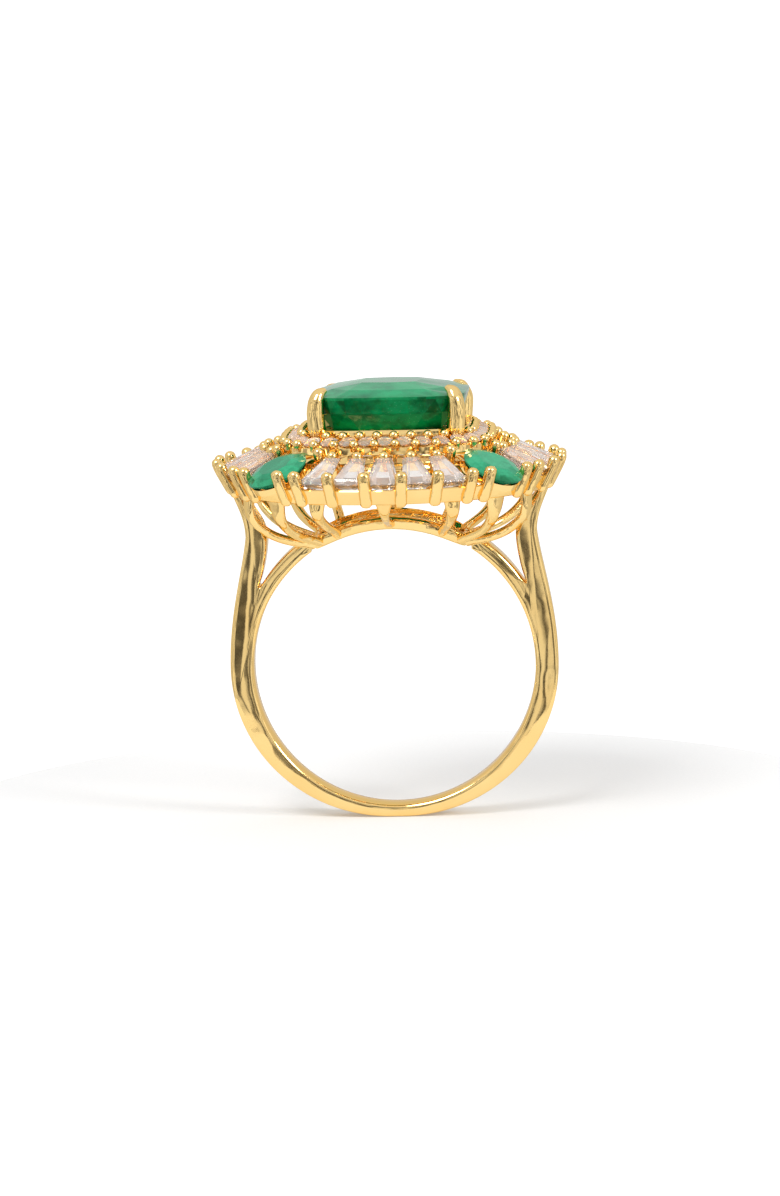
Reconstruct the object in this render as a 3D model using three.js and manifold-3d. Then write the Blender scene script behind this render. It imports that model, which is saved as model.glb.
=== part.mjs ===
// A gold cocktail ring: a forked shank, an open wire gallery and a ballerina crown that carries
// a cushion emerald, a halo of small round stones, four oval emeralds and twenty baguettes.
// Millimetres, +Z up. The finger hole runs along Y and its centre is the origin.
import * as THREE from 'three';
import { mergeVertices } from 'three/addons/utils/BufferGeometryUtils.js';
import Module from 'manifold-3d';

const wasm = await Module();
wasm.setup();

// ---------- Driving dimensions ----------

const seatGap = 0.04; // clearance between a stone or a wire and what holds it
const fingerRadius = 8.65; // US size 7

// Shank
const shankWidth = 2.2; // along the finger
const shankBottomThickness = 0.75;
const shankSideThickness = 1.41;
const shankEdge = 0.22; // chamfer on all long edges
const innerBranchThickness = 0.87;
const outerBranchThickness = 1.3;
const waistHalfWidth = 8.9; // half the ring's width where the outer branches are closest
const waistHeight = 8.1;
const footPull = [0.35, 1]; // run and drop of the flare's curve where it leaves the crown
const waistPull = [0.25, 1.1, 2.1]; // run, rise and drop of the curves that meet at the waist
const shoulderPull = 3.4; // rise of the shoulder's curve where the band is widest
const footInset = 0.1; // of the outer branch's inner side, from the crown rail
const forkAngle = 58.7; // of the fork's apex, in degrees from the top of the finger hole

// Gallery
const baseHalfLength = 4.55; // plan of the base rail, to the middle of its wire
const baseHalfWidth = 2.35;
const baseCorner = 1.2;
const baseWire = 0.6;
const baseThickness = 0.72; // radially from the finger hole
const ribRadius = 0.27;
const centreRibRadius = 0.3;
// Each rib at the front right: its azimuth at the crown, the points that it bends through, and
// its foot on the base rail as X and the distance behind the rail's front face.
const ribCourses = {
  centre: { azimuth: 0, bends: [[0, -7.5, 9.95], [0, -5, 9.3]], foot: [0, 0] },
  front: { azimuth: 25, bends: [[3.8, -7.4, 10.0], [3.45, -5.0, 9.15]], foot: [3.2, 0] },
  emerald: { azimuth: 44, bends: [[6.3, -5.7, 9.55], [5.6, -4.1, 8.5]], foot: [4.2, 0.25] },
  side: { azimuth: 62, bends: [[8.2, -4.1, 9.65], [7.6, -3.5, 8.8], [6.5, -2.9, 8.2]], foot: [4.6, 0.85] },
};

// Centre stone and the claws that hold it
const cushionPower = 4; // roundness of every cushion outline
const cushionCorner = Math.SQRT2 / 2 ** (1 / cushionPower); // its reach at a corner, for a half-width of 1
const stoneHalfWidth = 4.9;
const stoneGirdleHeight = 16.8;
const stoneCrown = 0.7;
const stoneDepth = 3.75;
const tableShare = 0.4; // of the stone's width
const girdle = 0.05; // half the thickness of every stone's rim
const rimTop = 14.88;
const rimHeight = 0.5;
const rimWidth = 0.5;
const rimShare = 0.9; // of the stone's half-width, at the rim's inner edge
const clawRadius = 0.55;
const clawStandoff = 0.15; // of a claw's middle, outside the stone's corner
const clawReach = stoneHalfWidth * cushionCorner + clawStandoff;
const clawTop = 17.1;
const clawFoot = 14.0;

// Halo of small round stones
const meleeArcs = 4;
const meleeRadius = 0.52;
const meleeSpacing = 0.08; // between neighbours
const meleeStandoff = 0.85; // of the stones' centres, outside the centre stone
const meleeHalfWidth = stoneHalfWidth + meleeStandoff;
const meleeHeight = 14.32; // of the stones' girdles
const meleeCrown = 0.14;
const meleeTableShare = 0.6;
const bridgeSize = [0.2, 0.05]; // width and thickness of the bridge that joins neighbours
const meleeDepth = 0.3;
const plateThickness = 0.25;
const plateGap = 0.05; // under the stones
const plateWidth = 1.0;
const meleeBeadRadius = 0.2;
const haloWallInset = 0.2; // from the plate's outer edge
const haloWallWidth = 0.3;
const haloWallHalfWidth = meleeHalfWidth + plateWidth / 2 - haloWallInset;

// Baguettes, held between the crown's inner and outer rails
const fanCount = 4;
const baguettesPerFan = 5;
const baguettePitch = 12; // degrees
const baguetteLength = 2.87;
const baguetteSlope = 25; // degrees
const baguetteInnerHeight = 13.45; // of the girdle's inner end
const baguetteCrown = 0.26;
const baguetteDepth = 0.5;
const outerSpacing = 0.164; // between neighbours, at their wide and narrow ends
const innerSpacing = 0.598;

// Crown
const innerRailRadius = haloWallHalfWidth * cushionCorner - 0.2; // under the corners of the halo's wall
const innerRailWidth = 0.45;
const innerRailBottom = 12.2;
const innerRailHeight = 0.6;
const baguetteInner = innerRailRadius + 0.6; // radius of a baguette's inner end
const crownBottom = 10.95; // height of the outer rail's lower edge
const crownRailHeight = 0.92;
const crownRailWidth = 0.5;
const stoneOverhang = 1.0; // of the baguettes, past the outer rail's inner edge
const baguetteOuter = baguetteInner + baguetteLength * Math.cos((baguetteSlope * Math.PI) / 180);
const crownRailRadius = baguetteOuter - stoneOverhang; // inner radius of its lower edge
const crownLean = 0.55; // outward run for each millimetre of height
const barWidth = 0.34;
const barThickness = 0.3;
const prongRadius = 0.36;
const prongTop = 13.0;
const beadProngRadius = 0.26;
const beadProngTop = 13.8;
const beadReach = innerRailRadius + 0.75; // radius at the bead prongs' tips
const halfPitch = (baguettePitch * Math.PI) / 360;
const baguetteOuterWidth = 2 * baguetteOuter * Math.tan(halfPitch) - outerSpacing;
const baguetteInnerWidth = 2 * baguetteInner * Math.tan(halfPitch) - innerSpacing;

// Oval stones
const ovalHalfLength = 2.0;
const ovalHalfWidth = 1.65;
const ovalRadius = crownRailRadius - 0.1; // of the stone's centre from the ring's axis
const ovalHeight = 12.75;
const ovalTilt = 25;
const ovalCrown = 0.42;
const ovalDepth = 1.15;
const ovalProngInset = 0.3; // of the prongs' feet and the beads' feet, from the stone's edge
const ovalBeadOutset = 0.1;
const ovalBeadTop = 14.1;
const ovalSeatInset = 0.12;
const ovalSeatWidth = 0.26;
const ovalSeatDrop = 0.4; // of the seat's top, below the stone's girdle
const ovalSeatThickness = 0.3;

// ---------- Materials ----------

const gold = { color: 0xe0b45a, roughness: 0.16, metalness: 1 };
const emerald = { color: 0x0a7a45, roughness: 0.08, metalness: 0 };
const clearStone = { color: 0xf1dfd8, roughness: 0.04, metalness: 0 };

// ---------- Shape helpers ----------

const degrees = THREE.MathUtils.degToRad;

function signedVolume(geometry) {
  const at = geometry.attributes.position;
  const [a, b, c] = [new THREE.Vector3(), new THREE.Vector3(), new THREE.Vector3()];
  let sum = 0;
  for (let i = 0; i < geometry.index.count; i += 3) {
    a.fromBufferAttribute(at, geometry.index.getX(i));
    b.fromBufferAttribute(at, geometry.index.getX(i + 1));
    c.fromBufferAttribute(at, geometry.index.getX(i + 2));
    sum += a.dot(b.cross(c)) / 6;
  }
  return sum;
}

function toSolid(source) {
  const bare = new THREE.BufferGeometry();
  bare.setAttribute('position', source.attributes.position.clone());
  if (source.index) bare.setIndex(source.index.clone());
  const geometry = mergeVertices(bare, 1e-4);
  const triVerts = Uint32Array.from(geometry.index.array);
  if (signedVolume(geometry) < 0) {
    for (let i = 0; i < triVerts.length; i += 3) {
      [triVerts[i], triVerts[i + 1]] = [triVerts[i + 1], triVerts[i]];
    }
  }
  const vertProperties = Float32Array.from(geometry.attributes.position.array);
  return new wasm.Manifold(new wasm.Mesh({ numProp: 3, vertProperties, triVerts }));
}

function toGeometry(solid) {
  const mesh = solid.getMesh();
  const geometry = new THREE.BufferGeometry();
  geometry.setAttribute('position', new THREE.BufferAttribute(mesh.vertProperties, 3));
  geometry.setIndex(new THREE.BufferAttribute(mesh.triVerts, 1));
  return geometry;
}

const join = (solids) => solids.reduce((whole, solid) => whole.add(solid));
const cut = (solid, tools) => tools.reduce((left, tool) => left.subtract(tool), solid);

// A closed skin over loops of equally many points; a loop of one point is an apex.
function loft(loops) {
  const corners = [];
  const face = (...points) => points.forEach((p) => corners.push(p.x, p.y, p.z));
  const cap = (loop) => {
    for (let i = 1; i + 1 < loop.length; i += 1) face(loop[0], loop[i], loop[i + 1]);
  };
  cap([...loops[0]].reverse());
  for (let k = 0; k + 1 < loops.length; k += 1) {
    const [low, high] = [loops[k], loops[k + 1]];
    const count = Math.max(low.length, high.length);
    for (let i = 0; i < count; i += 1) {
      const j = (i + 1) % count;
      if (low.length > 1) face(low[i], low[j], high[i % high.length]);
      if (high.length > 1) face(low[j % low.length], high[j], high[i]);
    }
  }
  cap(loops[loops.length - 1]);
  const geometry = new THREE.BufferGeometry();
  geometry.setAttribute('position', new THREE.Float32BufferAttribute(corners, 3));
  return geometry;
}

class Cushion extends THREE.Curve {
  constructor(halfWidth) {
    super();
    this.halfWidth = halfWidth;
  }

  getPoint(t, target = new THREE.Vector3()) {
    const [c, s] = [Math.cos(2 * Math.PI * t), Math.sin(2 * Math.PI * t)];
    const norm = Math.abs(c) ** cushionPower + Math.abs(s) ** cushionPower;
    return target.set(c, s, 0).multiplyScalar(this.halfWidth / norm ** (1 / cushionPower));
  }
}

function cushionLoop(halfWidth, height, steps) {
  const points = new Cushion(halfWidth).getSpacedPoints(steps).slice(0, steps);
  return points.map((p) => new THREE.Vector3(p.x, p.y, height));
}

function cushionRing(innerHalfWidth, outerHalfWidth, bottom, height, steps) {
  const shape = new THREE.Shape(cushionLoop(outerHalfWidth, 0, steps));
  shape.holes.push(new THREE.Path(cushionLoop(innerHalfWidth, 0, steps)));
  const ring = new THREE.ExtrudeGeometry(shape, { depth: height, bevelEnabled: false });
  return toSolid(ring.translate(0, 0, bottom));
}

// A ring about +Z whose profile is a four-cornered outline of [radius, height] points.
function turnedRing(profile, steps) {
  const points = [...profile, profile[0]].map(([radius, height]) => new THREE.Vector2(radius, height));
  return toSolid(new THREE.LatheGeometry(points, steps).rotateX(Math.PI / 2));
}

// A bar between two points that narrows to its far end.
function taperedBar(from, to, radius, sides) {
  const length = from.distanceTo(to);
  const bar = new THREE.CylinderGeometry(radius * 0.7, radius, length, sides).translate(0, length / 2, 0);
  const direction = to.clone().sub(from).normalize();
  bar.applyQuaternion(new THREE.Quaternion().setFromUnitVectors(new THREE.Vector3(0, 1, 0), direction));
  return toSolid(bar.translate(from.x, from.y, from.z));
}

// A wire along a smooth line, with a section of a few flats.
function wire(points, radius, steps) {
  const section = new THREE.Shape();
  section.absarc(0, 0, radius, 0, 2 * Math.PI);
  const path = new THREE.CatmullRomCurve3(points);
  const options = { steps, curveSegments: 5, bevelEnabled: false, extrudePath: path };
  return toSolid(new THREE.ExtrudeGeometry(section, options));
}

// Azimuth 0 is the front of the ring, towards -Y, and 90 its right side, +X.
function around(azimuth, radius, height) {
  const turn = degrees(azimuth);
  return new THREE.Vector3(radius * Math.sin(turn), -radius * Math.cos(turn), height);
}

// Everything above that height, or below it where side is -1.
function slab(height, side) {
  const span = 3 * crownRailRadius;
  return toSolid(new THREE.BoxGeometry(span, span, span).translate(0, 0, height + (side * span) / 2));
}

// Turns a stone made along -Y at azimuth 0 to its own azimuth.
const turned = (solid, azimuth) => solid.rotate([0, 0, azimuth]);

// ---------- The object ----------

const ring = new THREE.Group();

function add(name, solid, look) {
  const mesh = new THREE.Mesh(toGeometry(solid), new THREE.MeshStandardMaterial(look));
  mesh.name = name;
  ring.add(mesh);
}

// ---------- Stones ----------

// One baguette at azimuth 0 from its levels, each an inset and a lift off the girdle. A seat for
// it is the same shape in fewer levels, grown on every side.
const baguetteLevels = [
  [0.42, -baguetteDepth],
  [0.2, -baguetteDepth * 0.6],
  [0, -girdle],
  [0, girdle],
  [0.18, baguetteCrown * 0.7],
  [0.36, baguetteCrown],
];
const baguetteSeatLevels = [
  [0, -baguetteDepth - seatGap],
  [0, baguetteCrown + seatGap],
];

function baguette(levels = baguetteLevels, grow = 0) {
  const slope = degrees(baguetteSlope);
  const along = new THREE.Vector3(0, -Math.cos(slope), -Math.sin(slope));
  const up = new THREE.Vector3(0, -Math.sin(slope), Math.cos(slope));
  const start = new THREE.Vector3(0, -baguetteInner, baguetteInnerHeight);
  const stepLoop = ([inset, lift]) => {
    const [near, far] = [inset - grow, baguetteLength - inset + grow];
    const halfAt = (run) => {
      const share = run / baguetteLength;
      return (baguetteInnerWidth + (baguetteOuterWidth - baguetteInnerWidth) * share) / 2 - inset + grow;
    };
    return [[-halfAt(near), near], [halfAt(near), near], [halfAt(far), far], [-halfAt(far), far]].map(
      ([side, run]) => start.clone().addScaledVector(along, run).addScaledVector(up, lift).setX(side),
    );
  };
  return toSolid(loft(levels.map(stepLoop)));
}

// An oval stone or its seat at azimuth 0, from levels that each give a share of the outline and
// a lift off the girdle. Its long axis follows the slope of the crown.
const ovalLevels = [
  [0.12, -ovalDepth],
  [0.5, -ovalDepth * 0.62],
  [1, -girdle],
  [1, girdle],
  [0.82, ovalCrown * 0.62],
  [0.58, ovalCrown],
];
const ovalSeatBottom = -ovalSeatDrop - ovalSeatThickness;
// The hole burred for it is a plain many-sided shaft that its outline fits inside.
const burSides = 10;
const burShare = 1 / Math.cos(Math.PI / burSides);
const ovalBurLevels = [
  [burShare, ovalSeatBottom - seatGap],
  [burShare, ovalCrown],
];

function ovalStone(levels = ovalLevels, sides = 16, grow = 0) {
  const loopAt = ([share, lift]) =>
    Array.from({ length: sides }, (_, i) => {
      const turn = (2 * Math.PI * i) / sides;
      const [halfWidth, halfLength] = [ovalHalfWidth * share + grow, ovalHalfLength * share + grow];
      return new THREE.Vector3(halfWidth * Math.cos(turn), halfLength * Math.sin(turn), lift);
    });
  const geometry = loft(levels.map(loopAt)).rotateX(degrees(ovalTilt));
  return toSolid(geometry.translate(0, -ovalRadius, ovalHeight));
}

function centreStone(grow = 0) {
  const sides = 24;
  const loopAt = ([share, lift]) =>
    cushionLoop(stoneHalfWidth * share + grow, stoneGirdleHeight + lift, sides);
  const levels = [
    [0.08, -stoneDepth - grow],
    [0.55, -stoneDepth * 0.78 - grow],
    [0.84, -stoneDepth * 0.5 - grow],
    [0.96, -stoneDepth * 0.2 - grow],
    [1, -girdle * 2 - grow],
    [1, girdle],
    [0.74, stoneCrown * 0.62 + grow],
    [tableShare, stoneCrown + grow],
  ];
  return toSolid(loft(levels.map(loopAt)));
}

// As many stones as fit round the centre stone. Each arc has an odd number, so that the corners,
// where the claws stand, fall between two stones.
const meleePitch = 2 * meleeRadius + meleeSpacing;
const meleeRoom = new Cushion(meleeHalfWidth).getLength() / meleePitch / meleeArcs;
const meleePerArc = 2 * Math.floor(meleeRoom / 2) + 1;
const meleeCount = meleePerArc * meleeArcs;
const meleeCentres = cushionLoop(meleeHalfWidth, meleeHeight, meleeCount);

function meleeStone(centre) {
  const sides = 6;
  const loopAt = (radius, lift) =>
    Array.from({ length: sides }, (_, i) => {
      const turn = (2 * Math.PI * i) / sides;
      return new THREE.Vector3(radius * Math.cos(turn), radius * Math.sin(turn), lift).add(centre);
    });
  const culet = [centre.clone().setZ(centre.z - meleeDepth)];
  const rims = [loopAt(meleeRadius, -girdle), loopAt(meleeRadius, girdle / 2)];
  return toSolid(loft([culet, ...rims, loopAt(meleeRadius * meleeTableShare, meleeCrown)]));
}

// Each arc of the halo runs girdle to girdle, so a short bridge joins neighbours.
function meleeArc(first, count) {
  const stones = [];
  for (let i = 0; i < count; i += 1) {
    const here = meleeCentres[(first + i) % meleeCount];
    stones.push(meleeStone(here));
    if (i + 1 < count) {
      const next = meleeCentres[(first + i + 1) % meleeCount];
      const bridge = new THREE.BoxGeometry(here.distanceTo(next), ...bridgeSize);
      bridge.rotateZ(Math.atan2(next.y - here.y, next.x - here.x));
      const middle = here.clone().add(next).multiplyScalar(0.5);
      stones.push(toSolid(bridge.translate(middle.x, middle.y, middle.z)));
    }
  }
  return join(stones);
}

// ---------- Shank ----------

// An outline in the XZ plane: shape x is X and shape y is Z.
function shankShape() {
  const branchRadius = fingerRadius + innerBranchThickness;
  const shoulder = fingerRadius + shankSideThickness;
  const baseEnd = baseHalfLength + baseWire / 2 + seatGap;
  const topHeight = crownBottom - seatGap;
  const topOuter = crownRailRadius + crownRailWidth;
  const [footRun, footDrop] = footPull;
  const [waistRun, waistRise, waistDrop] = waistPull;
  const arc = (radius, from, to, steps) =>
    Array.from({ length: steps + 1 }, (_, i) => {
      const turn = from + ((to - from) * i) / steps;
      return new THREE.Vector2(radius * Math.sin(turn), radius * Math.cos(turn));
    });
  const bend = (points, steps) => {
    const controls = points.map(([x, z]) => new THREE.Vector2(x, z));
    return new THREE.CubicBezierCurve(...controls).getPoints(steps).slice(1);
  };
  const flare = [
    [topOuter, topHeight],
    [topOuter - footRun, topHeight - footDrop],
    [waistHalfWidth, waistHeight + waistRise],
    [waistHalfWidth, waistHeight],
  ];
  const shoulderLine = [
    [waistHalfWidth, waistHeight],
    [waistHalfWidth + waistRun, waistHeight - waistDrop],
    [shoulder, shoulderPull],
    [shoulder, 0],
  ];
  // The band thins from the shoulder to the bottom of the ring.
  const palmSteps = 22;
  const palm = Array.from({ length: palmSteps }, (_, i) => {
    const turn = ((i + 1) / palmSteps) * (Math.PI / 2);
    const share = (1 - Math.cos(turn) + Math.sin(turn) ** 2) / 2;
    const radius = shoulder + (shankBottomThickness - shankSideThickness) * share;
    return new THREE.Vector2(radius * Math.cos(turn), -radius * Math.sin(turn));
  });
  const innerTip = Math.asin(baseEnd / fingerRadius);
  const right = [
    new THREE.Vector2(baseEnd, fingerRadius * Math.cos(innerTip)),
    ...arc(branchRadius, Math.asin(baseEnd / branchRadius), degrees(forkAngle), 6),
    new THREE.Vector2(waistHalfWidth - outerBranchThickness, waistHeight),
    new THREE.Vector2(crownRailRadius - footInset, topHeight),
    new THREE.Vector2(topOuter, topHeight),
    ...bend(flare, 6),
    ...bend(shoulderLine, 12),
    ...palm,
  ];
  const left = right.slice(0, -1).reverse().map((p) => new THREE.Vector2(-p.x, p.y));
  const hole = arc(fingerRadius, 2 * Math.PI - innerTip, innerTip, 60).slice(1, -1);
  return new THREE.Shape([...right, ...left, ...hole]);
}

function shank() {
  const depth = shankWidth - 2 * shankEdge;
  const options = {
    depth,
    bevelThickness: shankEdge,
    bevelSize: shankEdge,
    bevelOffset: -shankEdge,
    bevelSegments: 1,
  };
  const band = new THREE.ExtrudeGeometry(shankShape(), options);
  return toSolid(band.translate(0, 0, -depth / 2).rotateX(Math.PI / 2));
}

// ---------- Gallery ----------

// A closed wire that follows the finger hole, grown on every side for what is cut to meet it.
function baseRail(grow = 0) {
  const outline = (offset) => {
    const [halfLength, halfWidth] = [baseHalfLength + offset, baseHalfWidth + offset];
    const corner = baseCorner + offset;
    const shape = new THREE.Shape();
    shape.moveTo(halfLength, -halfWidth + corner);
    shape.lineTo(halfLength, halfWidth - corner);
    shape.absarc(halfLength - corner, halfWidth - corner, corner, 0, Math.PI / 2);
    shape.lineTo(-halfLength + corner, halfWidth);
    shape.absarc(-halfLength + corner, halfWidth - corner, corner, Math.PI / 2, Math.PI);
    shape.lineTo(-halfLength, -halfWidth + corner);
    shape.absarc(-halfLength + corner, -halfWidth + corner, corner, Math.PI, 1.5 * Math.PI);
    shape.lineTo(halfLength - corner, -halfWidth);
    shape.absarc(halfLength - corner, -halfWidth + corner, corner, 1.5 * Math.PI, 2 * Math.PI);
    return shape;
  };
  const plan = outline(baseWire / 2 + grow);
  plan.holes.push(outline(-baseWire / 2 - grow));
  const extrude = { depth: crownBottom, bevelEnabled: false, curveSegments: 5 };
  const tower = toSolid(new THREE.ExtrudeGeometry(plan, extrude));
  const [inner, outer] = [fingerRadius + seatGap - grow, fingerRadius + baseThickness + grow];
  const drum = (radius) => toSolid(new THREE.CylinderGeometry(radius, radius, crownBottom, 48));
  return tower.intersect(drum(outer)).subtract(drum(inner));
}

const railMiddle = crownRailRadius + crownRailWidth / 2;
const ribTop = crownBottom + crownRailHeight / 2;

// The course as points, mirrored into the quarter that the signs of X and Y give.
function ribLine({ azimuth, bends, foot: [footX, setBack] }, x, y) {
  const faceY = -(baseHalfWidth + baseWire / 4) + setBack;
  const footHeight = Math.sqrt((fingerRadius + baseThickness / 2) ** 2 - footX ** 2);
  const points = [around(azimuth, railMiddle, ribTop).toArray(), ...bends, [footX, faceY, footHeight]];
  return points.map((point) => new THREE.Vector3(...point).multiply(new THREE.Vector3(x, y, 1)));
}

function rib(line, radius) {
  const ceiling = slab(crownBottom - seatGap, 1);
  return cut(wire(line, radius, 7), [ceiling, baseRail(seatGap)]);
}

// ---------- Crown ----------

// Profile of a rail that leans outward like the prongs on it.
function leaningRail(innerRadius, width, bottom, height) {
  const run = height * crownLean;
  return turnedRing(
    [
      [innerRadius, bottom],
      [innerRadius + width, bottom],
      [innerRadius + width + run, bottom + height],
      [innerRadius + run, bottom + height],
    ],
    48,
  );
}

const quarter = 360 / fanCount;
const fans = Array.from({ length: fanCount }, (_, i) => i * quarter);
const corners = fans.map((azimuth) => azimuth + quarter / 2);
const fanEnd = (baguettesPerFan * baguettePitch) / 2;
const gridOf = (count) => Array.from({ length: count }, (_, i) => i);
const baguetteAzimuths = fans.flatMap((fan) =>
  gridOf(baguettesPerFan).map((i) => fan + (i - (baguettesPerFan - 1) / 2) * baguettePitch),
);
const fanEdges = fans.flatMap((fan) =>
  gridOf(baguettesPerFan + 1).map((i) => fan - fanEnd + i * baguettePitch),
);
// Azimuths on both sides of every oval stone, at that distance from its middle.
const besideOvals = (distance, radius) => {
  const spread = THREE.MathUtils.radToDeg(Math.asin(distance / radius));
  return corners.flatMap((corner) => [corner - spread, corner + spread]);
};
const ovalProngs = besideOvals(ovalHalfWidth - ovalProngInset, railMiddle);
const beadFoot = innerRailRadius + innerRailWidth / 2;
const ovalBeads = besideOvals(ovalHalfWidth + ovalBeadOutset, beadFoot);

function crownFrame(stoneSeats) {
  const rails = [
    leaningRail(crownRailRadius, crownRailWidth, crownBottom, crownRailHeight),
    leaningRail(innerRailRadius, innerRailWidth, innerRailBottom, innerRailHeight),
  ];
  const prongs = [...fanEdges, ...ovalProngs].map((azimuth) => {
    const foot = around(azimuth, railMiddle, crownBottom);
    const tip = around(azimuth, railMiddle + (prongTop - crownBottom) * crownLean, prongTop);
    return taperedBar(foot, tip, prongRadius, 6);
  });
  const bead = (azimuth, top) => {
    const foot = around(azimuth, beadFoot, innerRailBottom + innerRailHeight / 2);
    return taperedBar(foot, around(azimuth, beadReach, top), beadProngRadius, 5);
  };
  const bars = fans.flatMap((fan) => [fan - fanEnd, fan + fanEnd]).map((azimuth) => {
    const [run, drop] = [railMiddle - beadFoot, innerRailBottom - crownBottom];
    const bar = new THREE.BoxGeometry(barWidth, Math.hypot(run, drop), barThickness);
    bar.rotateX(Math.atan2(drop, run));
    const height = (innerRailBottom + crownBottom + crownRailHeight) / 2 - barThickness / 2;
    return turned(toSolid(bar.translate(0, -(railMiddle + beadFoot) / 2, height)), azimuth);
  });
  const innerBeads = [
    ...baguetteAzimuths.map((azimuth) => bead(azimuth, beadProngTop)),
    ...ovalBeads.map((azimuth) => bead(azimuth, ovalBeadTop)),
  ];
  // The prongs' feet are filed flush with the outer rail's lower edge.
  const below = slab(crownBottom, -1);
  return cut(join([...rails, ...bars, ...prongs, ...innerBeads]), [...stoneSeats, below]);
}

// The oval collet under the emerald at that azimuth, clear of the halo's wall.
function ovalSeat(azimuth) {
  const outline = (offset) => {
    const shape = new THREE.Shape();
    shape.absellipse(0, 0, ovalHalfWidth + offset, ovalHalfLength + offset, 0, 2 * Math.PI);
    return shape;
  };
  const plan = outline(-ovalSeatInset);
  plan.holes.push(outline(-ovalSeatInset - ovalSeatWidth));
  const extrude = { depth: ovalSeatThickness, bevelEnabled: false, curveSegments: 10 };
  const collet = new THREE.ExtrudeGeometry(plan, extrude);
  collet.translate(0, 0, ovalSeatBottom).rotateX(degrees(ovalTilt));
  const ring = turned(toSolid(collet.translate(0, -ovalRadius, ovalHeight)), azimuth);
  return cut(ring, [haloWall(seatGap)]);
}

// ---------- Centre ----------

// Each claw bows outward and leans in over the stone: offsets from its reach, with heights.
const clawCourse = [
  [-0.12, clawFoot],
  [0.06, rimTop],
  [0.08, stoneGirdleHeight - 0.5],
  [-0.3, clawTop],
];

function claws(grow = 0) {
  return corners.map((azimuth) => {
    const line = clawCourse.map(([offset, height]) => around(azimuth, clawReach + offset, height));
    return wire(line, clawRadius + grow, 8);
  });
}

function centreBasket(stoneSeat) {
  const inner = stoneHalfWidth * rimShare;
  const rim = cushionRing(inner, inner + rimWidth, rimTop - rimHeight, rimHeight, 32);
  return cut(join([rim, ...claws()]), [stoneSeat]);
}

function meleePlate() {
  const top = meleeHeight - meleeDepth - plateGap;
  const inner = meleeHalfWidth - plateWidth / 2;
  const plate = cushionRing(inner, inner + plateWidth, top - plateThickness, plateThickness, 48);
  const clawPlaces = corners.map((azimuth) => around(azimuth, clawReach, 0));
  const clear = clawRadius + 2 * meleeBeadRadius;
  const clearOfClaws = (place) => clawPlaces.every((claw) => claw.distanceTo(place) > clear);
  const lines = [meleeHalfWidth - meleeRadius, meleeHalfWidth + meleeRadius];
  const places = lines.flatMap((halfWidth) =>
    new Cushion(halfWidth).getSpacedPoints(2 * meleeCount).filter((_, i) => i % 2 === 1),
  );
  const beads = places.filter(clearOfClaws).map((place) => {
    const foot = place.clone().setZ(top - plateThickness / 2);
    return taperedBar(foot, foot.clone().setZ(meleeHeight + meleeCrown), meleeBeadRadius, 4);
  });
  return cut(join([plate, ...beads]), claws(seatGap));
}

// The wall that carries the halo's plate on the crown's inner rail.
function haloWall(grow = 0) {
  const bottom = innerRailBottom + innerRailHeight + seatGap - grow;
  const top = meleeHeight - meleeDepth - plateGap - plateThickness - seatGap + grow;
  const [inner, outer] = [haloWallHalfWidth - haloWallWidth - grow, haloWallHalfWidth + grow];
  return cushionRing(inner, outer, bottom, top - bottom, 32);
}

// ---------- Assembly ----------

const sides = ['front', 'right', 'back', 'left'];
const stoneSeats = [
  ...baguetteAzimuths.map((azimuth) => turned(baguette(baguetteSeatLevels, seatGap), azimuth)),
  ...corners.map((azimuth) => turned(ovalStone(ovalBurLevels, burSides, seatGap), azimuth)),
];
const crown = crownFrame(stoneSeats);
const basket = centreBasket(centreStone(seatGap));

add('shank', shank(), gold);
add('base_rail', baseRail(), gold);
for (const [depth, y] of [['front', 1], ['back', -1]]) {
  add(`centre_rib_${depth}`, rib(ribLine(ribCourses.centre, 1, y), centreRibRadius), gold);
  for (const [side, x] of [['right', 1], ['left', -1]]) {
    for (const name of ['front', 'emerald', 'side']) {
      add(`${name}_rib_${depth}_${side}`, rib(ribLine(ribCourses[name], x, y), ribRadius), gold);
    }
  }
}
add('crown_frame', crown, gold);
add('centre_basket', basket, gold);
add('melee_plate', meleePlate(), gold);
add('halo_wall', haloWall(), gold);
add('centre_emerald', centreStone(), emerald);
corners.forEach((azimuth, i) => {
  const place = ['front_right', 'back_right', 'back_left', 'front_left'][i];
  add(`oval_seat_${place}`, ovalSeat(azimuth), gold);
  add(`oval_emerald_${place}`, turned(ovalStone(), azimuth), emerald);
});
baguetteAzimuths.forEach((azimuth, i) => {
  const name = `baguette_${sides[Math.floor(i / baguettesPerFan)]}_${(i % baguettesPerFan) + 1}`;
  add(name, turned(baguette(), azimuth), clearStone);
});
for (let i = 0; i < meleeArcs; i += 1) {
  add(`melee_arc_${i + 1}`, meleeArc((i * meleeCount) / meleeArcs, meleeCount / meleeArcs), clearStone);
}

export default ring;
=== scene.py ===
import math

import bmesh
import bpy
import numpy as np
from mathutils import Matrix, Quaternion, Vector


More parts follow.
